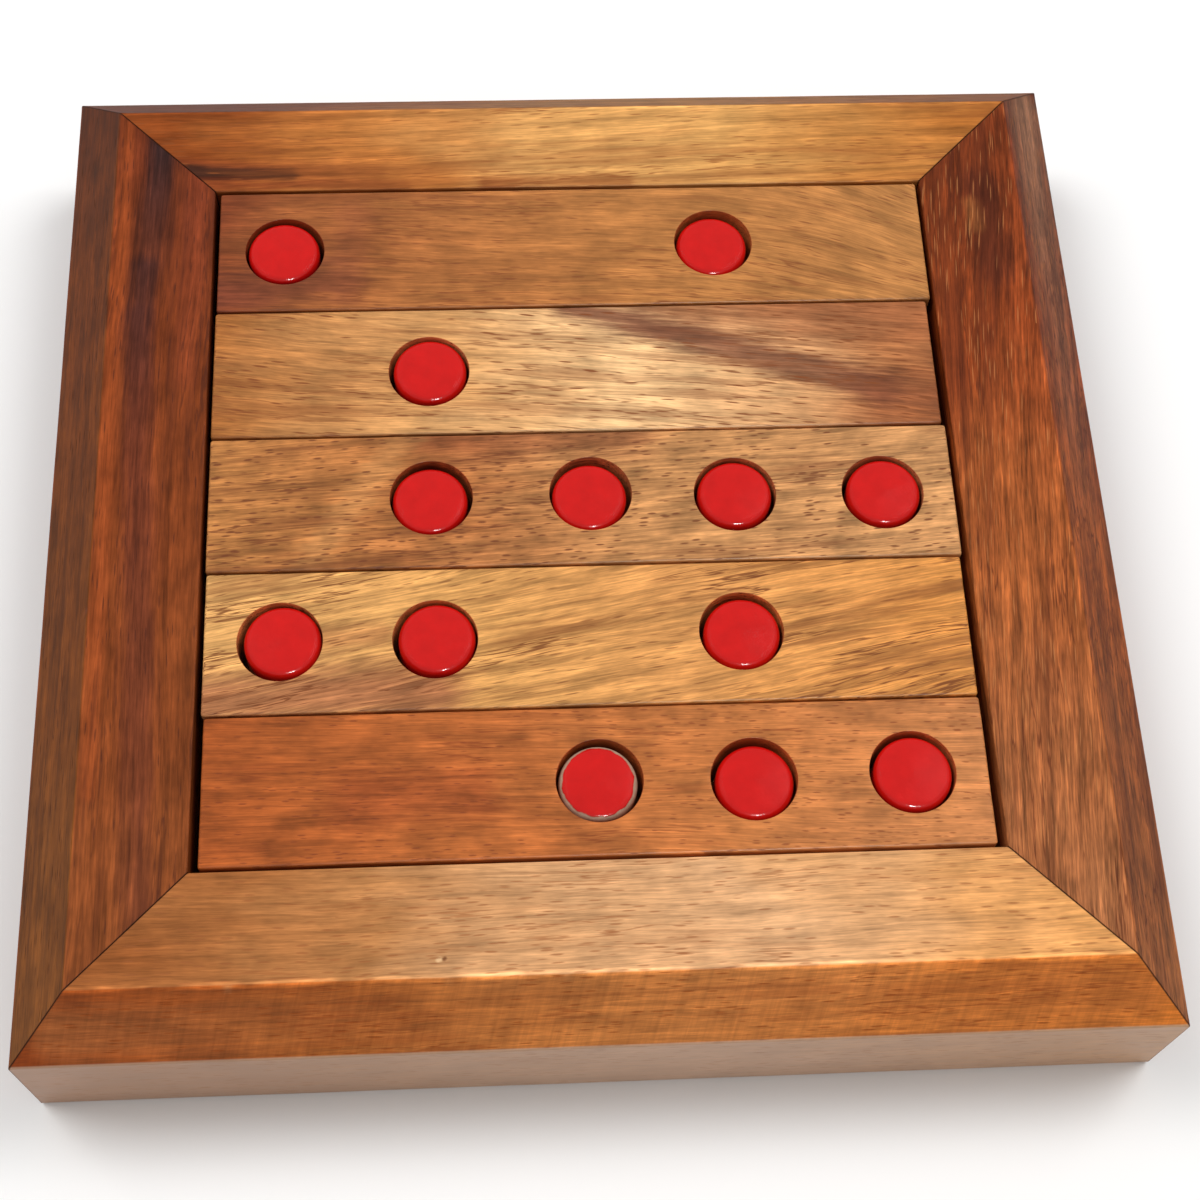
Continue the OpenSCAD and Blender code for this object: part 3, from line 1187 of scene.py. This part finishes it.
    def build(self, holes: Mapping[int, Sequence[Vector]]) -> None:
        """Makes the slats.

        Args:
            holes: The middle of each hole, for each slat's number.
        """
        recipe = self.recipe()
        for number, finish in zip(ROWS, self.finishes):
            node = f"{self.name}_{number}"
            board = Board.of_node(node, self.run.value)
            cell = board.size.x / len(ROWS)
            turn = Matrix.Rotation(-self.run.value * math.pi / 2, 3, "Z")
            drilled = [0.0] * len(ROWS)
            shift = [(0.0, 0.0, 0.0)] * len(ROWS)
            middle = len(ROWS) // 2
            middles = [Vector(((index - middle) * cell, 0.0, 0.0)) for index in range(len(ROWS))]
            for hole in holes[number]:
                local = turn @ (hole - board.centre)
                index = round(local.x / cell) + middle
                drilled[index] = 1.0
                shift[index] = (local.x - middles[index].x, local.y, 0.0)
            slat = seedling(f"{node}_wood", middles, [], {"drilled": drilled, "shift": shift})
            recipe.run(slat, finish.material(f"{node}_varnished", board),
                       Cell_Length=cell, Width=board.size.y, Thickness=board.size.z, Hole_Radius=self.radius,
                       Wobble=self.wobble, Dip=self.dip, Turn=self.run.value * math.pi / 2,
                       Centre_X=board.centre.x, Centre_Y=board.centre.y,
                       Base=board.centre.z - board.size.z / 2, Seed=float(number), Rim=self.rim)
            frozen(slat, self.ease, 3, by_weight=True)
            placed(slat, node, node, self.slot[number - 1])


@dataclass
class PegSet:
    """The dowel pegs.

    Attributes:
        finish: The usual finish.
        odd_finishes: Finishes of the pegs that differ, by row and column.
        rim: Radius of the rounded rim.
        foot: Radius of the eased foot.
        crown: Rise of the domed top.
        facets: Mesh faces round a peg.
        rings: Rings of mesh faces from foot to top.
        lump: How uneven the painted top is.
        nodes: The CAD node of each peg, by row and column.
    """

    finish: PaintFinish
    odd_finishes: Mapping[tuple[int, int], PaintFinish]
    rim: float = 1.0 * MM
    foot: float = 0.4 * MM
    crown: float = 0.35 * MM
    facets: int = 64
    rings: int = 72
    lump: float = 0.1 * MM
    nodes: dict[tuple[int, int], str] = field(default_factory=dict)

    def find(self, nodes: Sequence[str]) -> None:
        """Notes which of the frame's nodes are pegs.

        Args:
            nodes: Names of the frame's nodes.
        """
        for node in sorted(nodes):
            if node.startswith("peg_r"):
                _, row, column = node.split("_")
                self.nodes[int(row[1:]), int(column[1:])] = node

    def middle(self, spot: tuple[int, int]) -> Vector:
        """Reads the middle of the peg at a row and column."""
        low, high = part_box(self.nodes[spot])
        return (low + high) / 2

    def radius(self) -> float:
        """Reads a peg's radius."""
        low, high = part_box(next(iter(self.nodes.values())))
        return (high.x - low.x) / 2

    def recipe(self) -> Recipe:
        """Builds the tree that turns an outline round a peg's axis.

        Returns:
            The recipe. It starts from an open outline of radii and heights.
        """
        made = Recipe("turned_peg", ["Centre X", "Centre Y", "Base", "Height", "Lump", "Seed"])
        graph, given = made.graph, made.given
        grid = graph.shape("MeshGrid", {
            "Size X": 1.0, "Size Y": 1.0, "Vertices X": self.facets + 1, "Vertices Y": self.rings + 1})
        spot = graph.split(graph.position())
        rise = graph.plus(spot[1], 0.5, clamp=True)
        rise = graph.minus(1.0, graph.math("POWER", graph.minus(1.0, rise, clamp=True), 1.3))
        sample = graph.node("GeometryNodeSampleCurve", {"Curves": made.outline(8), "Factor": rise},
                            mode="FACTOR", use_all_curves=True, data_type="FLOAT")
        out, up, _ = graph.split(sample.outputs["Position"])
        angle = graph.times(graph.plus(spot[0], 0.5), 2 * math.pi)
        round_spot = graph.xyz(graph.times(out, graph.math("COSINE", angle)),
                               graph.times(out, graph.math("SINE", angle)), up)
        turned = graph.welded(graph.shape("SetPosition", {0: grid, "Position": round_spot}), FINE_WELD)
        place = graph.position()
        lumps = graph.minus(graph.noise(made.seeded_place(31.0), 0.32, 2.0), 0.72)
        top = graph.ramp(graph.split(place)[2], graph.minus(given["Height"], 3 * MM), given["Height"])
        offset = graph.times(graph.times(lumps, given["Lump"]), top)
        turned = graph.shape("SetPosition", {0: turned, "Offset": graph.xyz(0.0, 0.0, offset)})
        middle = graph.xyz(given["Centre X"], given["Centre Y"], given["Base"])
        made.end(graph.shape("Transform", {"Geometry": turned, "Translation": middle}))
        return made

    def build(self) -> None:
        """Makes the pegs."""
        recipe = self.recipe()
        for count, (spot, node) in enumerate(self.nodes.items()):
            low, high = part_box(node)
            middle = self.middle(spot)
            radius, height = self.radius(), high.z - low.z
            outline = [Vector((0.0, 0.0, 0.0)), Vector((radius, 0.0, 0.0)),
                       Vector((radius, height - self.crown, 0.0)), Vector((0.0, height, 0.0))]
            peg = seedling(f"{node}_painted", outline, [(0, 1), (1, 2), (2, 3)],
                           {"ease": [0.0, self.foot, self.rim, 0.0]})
            finish = self.odd_finishes.get(spot, self.finish)
            recipe.run(peg, finish.material(f"{node}_paint", middle, high.z, float(count)),
                       Centre_X=middle.x, Centre_Y=middle.y, Base=low.z, Height=height,
                       Lump=self.lump, Seed=float(count))
            frozen(peg, 0.0)
            placed(peg, node, f"peg_slat_{spot[1]}", "red_paint")


def hole_middles(node: bpy.types.Object, pegs: Sequence[Vector]) -> list[Vector]:
    """Finds where a drilled CAD node's holes are.

    Args:
        node: The node's object.
        pegs: The middle of each peg that goes through it.

    Returns:
        The middle of each hole, at height 0.
    """
    found = []
    for peg in pegs:
        near = [vertex.co for vertex in node.data.vertices if (vertex.co - peg).to_2d().length < HOLE_SEARCH]
        low, high = (Vector((end(point.x for point in near), end(point.y for point in near), 0.0))
                     for end in (min, max))
        found.append((low + high) / 2)
    return found


@dataclass
class Studio:
    """The floor, the lights and the camera.

    Attributes:
        azimuth: The camera's turn round the puzzle, in degrees, 0 for straight from the front.
        elevation: Its angle above the floor, in degrees.
        roll: Its turn about its own line of sight, in degrees.
        distance: From the camera to the point it looks at.
        aim: The point it looks at.
        lens: Focal length on a 36 mm wide sensor, in millimetres.
    """

    azimuth: float = -6.74
    elevation: float = 64.56
    roll: float = 4.62
    distance: float = 0.301
    aim: Vector = Vector((0.00285, -0.00255, 0.0))
    lens: float = 62.5

    def build(self) -> None:
        """Makes the floor, the lights and the camera."""
        self.build_floor()
        self.build_world()
        self.build_lights()
        self.build_camera()

    def build_floor(self) -> None:
        """Makes the pale floor."""
        mesh = bpy.data.meshes.new("studio_floor")
        half = 3.0
        mesh.from_pydata([(-half, -half, 0.0), (half, -half, 0.0), (half, half, 0.0), (-half, half, 0.0)],
                         [], [(0, 1, 2, 3)])
        floor = linked("studio_floor", mesh)
        paper, surface = blank_material("pale_paper")
        surface.inputs["Base Color"].default_value = (0.92, 0.92, 0.92, 1.0)
        surface.inputs["Roughness"].default_value = 0.9
        mesh.materials.append(paper)

    def build_world(self) -> None:
        """Makes the even light of the room."""
        world = bpy.data.worlds.new("room")
        world.use_nodes = True
        world.node_tree.nodes["Background"].inputs["Color"].default_value = (1.0, 0.99, 0.97, 1.0)
        world.node_tree.nodes["Background"].inputs["Strength"].default_value = 0.48
        bpy.context.scene.world = world
        bpy.context.scene.view_settings.view_transform = "Standard"

    def build_lights(self) -> None:
        """Makes two softboxes above the back corners and a small lamp that gives the paint its glints."""
        # Each lamp's place, its size and its power in watts
        lamps = {
            "glint": ((0.1, -0.42, 0.5), 0.08, 2.2),
            "left_softbox": ((-0.8, 0.4, 1.4), 0.8, 11.8),
            "right_softbox": ((0.8, 0.4, 1.4), 0.8, 11.8),
        }
        for name, (place, size, power) in lamps.items():
            light = bpy.data.lights.new(name, "AREA")
            light.size = size
            light.energy = power
            lamp = linked(name, light)
            lamp.location = place
            lamp.rotation_euler = (-Vector(place)).to_track_quat("-Z", "Y").to_euler()
            lamp.visible_glossy = name == "glint"
            lamp.visible_diffuse = name != "glint"

    def build_camera(self) -> None:
        """Makes the camera."""
        turn = (Matrix.Rotation(math.radians(self.azimuth), 4, "Z")
                @ Matrix.Rotation(math.radians(90 - self.elevation), 4, "X")
                @ Matrix.Rotation(math.radians(self.roll), 4, "Z"))
        camera = linked("camera", bpy.data.cameras.new("camera"))
        camera.data.lens = self.lens
        camera.data.sensor_width = 36.0
        camera.data.clip_start = 0.01
        back = turn.to_3x3() @ Vector((0.0, 0.0, 1.0))
        camera.matrix_world = Matrix.Translation(self.aim + back * self.distance) @ turn
        bpy.context.scene.camera = camera


def tones(*stops: tuple[float, int, int, int]) -> tuple[tuple[float, Colour], ...]:
    """Turns places along a board, each with a display colour, into a finish's tones."""
    return tuple((spot, shade(*colour)) for spot, *colour in stops)


def upper_finishes() -> list[WoodFinish]:
    """Lists the upper slats' finishes, from the back one to the front one."""
    return [
        WoodFinish(
            tones=tones((0.0, 125, 61, 32), (0.25, 167, 102, 54), (0.6, 178, 116, 62), (1.0, 178, 120, 66)),
            seed=1.0, slope=-0.03, droop=(12.0, 0.005), fibre=0.36, vein=0.6, vein_share=0.36, mottle=0.32,
            ring_contrast=0.14, ring_gap=4.0, dark=shade(122, 64, 34),
            stains=(Stain((-50, -8), (-34, -5), 6, shade(104, 52, 38), 0.6),
                    Stain((-31, 6), (-32, -8), 4, shade(138, 76, 46), 0.5, 2.0))),
        WoodFinish(
            tones=tones((0.0, 165, 102, 50), (0.3, 208, 152, 95), (0.58, 236, 189, 135), (1.0, 184, 121, 73)),
            seed=2.0, slope=-0.1, fibre=0.42, vein=0.65, vein_share=0.5, mottle=0.3, ring_contrast=0.12,
            pores=1.3, pore_size=(2.8, 0.3), pore_depth=0.9, dark=shade(128, 70, 36),
            stains=(Stain((16, 13.5), (62, 5.5), 13, shade(154, 90, 53), 0.85, 2.5),
                    Stain((44, -8), (62, -7), 12, shade(146, 81, 46), 0.8, 3.0),
                    Stain((-1, 10.2), (42, -4.2), 4.0, shade(108, 58, 42), 0.9, 1.2, 0.15),
                    Stain((42, -4.2), (54, -7), 3.2, shade(130, 74, 46), 0.7, 1.5, 0.4))),
        WoodFinish(
            tones=tones((0.0, 180, 119, 65), (0.3, 168, 104, 57), (0.6, 194, 137, 85), (1.0, 196, 141, 90)),
            seed=3.0, slope=0.06, fibre=0.5, vein=0.75, vein_share=0.45, mottle=0.46, ring_contrast=0.18,
            pores=1.5, pore_size=(1.6, 0.32), pore_depth=0.8, dark=shade(108, 56, 32),
            stains=(Stain((-20, 10), (6, 10), 6.5, shade(132, 70, 42), 0.65, 2.0),
                    Stain((-38, -11), (-23, 11), 3.2, shade(206, 146, 88), 0.4, 1.8))),
        WoodFinish(
            tones=tones((0.0, 222, 166, 100), (0.35, 213, 154, 88), (0.65, 211, 147, 84),
                        (1.0, 211, 140, 69)),
            seed=4.0, slope=0.16, bend=3.5, fibre=0.46, vein=0.85, vein_share=0.5, mottle=0.28,
            ring_contrast=0.26, ring_gap=3.4, pith=(-70.0, -5.0), dark=shade(112, 58, 28),
            stains=(Stain((-52, -8.5), (-20, -7), 6.5, shade(158, 94, 64), 0.8, 1.5),
                    Stain((-38, -0.5), (-27, 1), 2.6, shade(166, 104, 62), 0.6, 1.0))),
        WoodFinish(
            tones=tones((0.0, 160, 80, 34), (0.4, 177, 99, 48), (0.7, 189, 115, 61), (1.0, 195, 125, 73)),
            seed=5.0, slope=-0.02, fibre=0.36, vein=0.6, vein_share=0.32, mottle=0.42, ring_contrast=0.14,
            pores=0.8, pore_size=(1.4, 0.25), dark=shade(118, 52, 24),
            stains=(Stain((-30, -2), (-16, -1), 6, shade(146, 66, 32), 0.5, 2.0),)),
    ]


def lower_finishes() -> list[WoodFinish]:
    """Lists the lower slats' finishes, from the left one to the right one."""
    return [WoodFinish(tones=tones((0.0, *first), (1.0, *last)), seed=10.0 + count, slope=slope)
            for count, (first, last, slope) in enumerate((
                ((176, 112, 62), (186, 126, 74), 0.04), ((206, 150, 90), (190, 130, 76), -0.06),
                ((176, 108, 58), (192, 128, 72), 0.02), ((208, 150, 88), (200, 136, 76), 0.1),
                ((168, 98, 50), (182, 114, 64), -0.03)))]


def rail_finishes() -> dict[Side, WoodFinish]:
    """Lists the rails' finishes. Along a rail, 0 is the left end as it is looked at from outside."""
    return {
        Side.FRONT: WoodFinish(
            tones=tones((0.0, 143, 79, 37), (0.18, 161, 100, 54), (0.3, 178, 121, 72), (0.46, 209, 157, 110),
                        (0.62, 219, 167, 120), (0.8, 216, 154, 95), (1.0, 220, 152, 80)),
            seed=21.0, slope=0.01, fibre=0.34, vein=0.55, vein_share=0.4, mottle=0.26, ring_contrast=0.1,
            pores=1.4, pore_size=(2.2, 0.3), sanding=0.36, chamfer_tint=(0.84, 0.54, 0.27),
            face_tint=(0.84, 0.95, 1.3), face_haze=0.7, dark=shade(150, 88, 48), wear=1.3, gloss=0.1,
            stains=(Stain((-66, -7.4), (-8, -7.4), 4.4, shade(196, 146, 112), 0.5, 0.8, 1.0),
                    Stain((66, -7.4), (-4, -7.4), 4.4, shade(190, 132, 84), 0.6, 0.8, 0.8),
                    # A tiny pit, drawn as a painted highlight with a painted shade beside it.
                    Stain((-20.2, -1.2), (-20, -1.1), 0.5, shade(240, 196, 146), 0.9, 0.05),
                    Stain((-19.5, -1.1), (-19.4, -1), 0.4, shade(112, 62, 34), 0.8, 0.05))),
        Side.RIGHT: WoodFinish(
            tones=tones((0.0, 158, 99, 60), (0.4, 160, 86, 41), (0.65, 134, 60, 25), (1.0, 101, 43, 18)),
            seed=22.0, slope=-0.09, fibre=0.7, vein=0.7, vein_share=0.5, mottle=0.32, ring_contrast=0.26,
            pores=0.9, pore_size=(4.2, 0.2), pore_depth=0.4, pore_colour=shade(206, 134, 80),
            dark=shade(88, 38, 20), chamfer_tint=(0.72, 0.64, 0.52), gloss=0.1,
            # The first stain is a painted grey reflection on the wide chamfer, fading out towards the middle
            # of the rail.
            stains=(Stain((68, -7.6), (-6, -7.6), 4.8, shade(178, 134, 110), 0.66, 1.0, 0.95),
                    Stain((35, 1.5), (50, 2.5), 5.0, shade(70, 30, 18), 0.75, 1.6),
                    Stain((42.5, 3.4), (46.5, 3.8), 2.0, shade(156, 92, 48), 0.6, 0.35))),
        Side.BACK: WoodFinish(
            tones=tones((0.0, 168, 98, 38), (0.2, 188, 124, 62), (0.36, 212, 156, 90), (0.52, 208, 151, 88),
                        (0.68, 182, 112, 54), (0.86, 134, 66, 25), (1.0, 132, 62, 24)),
            seed=23.0, slope=0.03, fibre=0.34, vein=0.65, vein_share=0.5, mottle=0.22, ring_contrast=0.2,
            dark=shade(136, 74, 36), chamfer_tint=(0.4, 0.33, 0.23), gloss=0.1,
            stains=(Stain((56, 6.8), (28, 8.2), 3.4, shade(126, 58, 30), 0.8, 1.2, 0.6),
                    Stain((54, 7.4), (40, 8.1), 1.9, shade(54, 32, 24), 0.9, 0.7, 0.15),
                    Stain((58, 9.6), (24, 9.9), 1.6, shade(122, 52, 28), 0.7, 0.8, 0.5),
                    Stain((12, 9.9), (-8, 10.1), 1.8, shade(146, 78, 38), 0.75, 0.6, 0.3))),
        Side.LEFT: WoodFinish(
            tones=tones((0.0, 102, 44, 22), (0.3, 120, 55, 24), (0.7, 128, 64, 29), (1.0, 139, 76, 38)),
            seed=24.0, slope=-0.01, fibre=0.42, vein=0.55, vein_share=0.4, mottle=0.32, ring_contrast=0.2,
            pores=0.3, dark=shade(72, 34, 24), chamfer_tint=(0.73, 0.86, 0.58), gloss=0.1,
            stains=(Stain((-56, 8.5), (-20, 7.5), 3.4, shade(142, 64, 38), 0.6, 1.5, 0.5),
                    Stain((-64, -2.2), (40, -1.9), 1.7, shade(154, 72, 32), 0.6, 0.5, 0.3),
                    Stain((-30, 1.0), (66, 5.4), 3.4, shade(92, 44, 34), 0.6, 1.2, 0.3),
                    Stain((-62, 3.4), (-22, 0.7), 3.7, shade(38, 28, 30), 0.97, 0.7, 0.9),
                    Stain((-38, 1.6), (-8, 0), 3.0, shade(64, 34, 30), 0.8, 0.8, 1.0))),
    }


def floor_finish() -> WoodFinish:
    """Gives the finish of the floor panel, a bare sheet of plywood."""
    return WoodFinish(
        tones=tones((0.0, 214, 180, 134), (1.0, 204, 168, 120)), seed=30.0, ring_gap=9.0, pith=(0.0, -90.0),
        bend=9.0, pores=0.15, fibre=0.14, vein=0.2, roughness=0.6, varnish=0.0)


def main() -> None:
    """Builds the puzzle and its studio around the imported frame."""
    logging.basicConfig(level=logging.INFO, format="%(name)s: %(message)s")
    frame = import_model()
    nodes = frame["nodes"]
    Studio().build()
    Tray(rail_finishes(), floor_finish()).build()
    pegs = PegSet(PaintFinish(), {(5, 3): PaintFinish(cover=4.5, bare=shade(176, 146, 124))})
    pegs.find(list(nodes))
    in_row, in_column = ({number: [pegs.middle(spot) for spot in pegs.nodes if spot[axis] == number]
                          for number in ROWS} for axis in (0, 1))
    drilled = {row: hole_middles(nodes[f"holed_slat_{row}"], in_row[row]) for row in ROWS}
    upper_slots = ["brown_slat", "pale_slat", "brown_slat", "golden_slat", "reddish_slat"]
    SlatLayer("holed_slat", upper_slots, Run.LEFT_TO_RIGHT, upper_finishes(), HOLE_RADIUS).build(drilled)
    SlatLayer("peg_slat", ["lower_slat"] * 5, Run.FRONT_TO_BACK, lower_finishes(),
              pegs.radius() + GLUE_GAP).build(in_column)
    pegs.build()


if __name__ == "__main__":
    main()
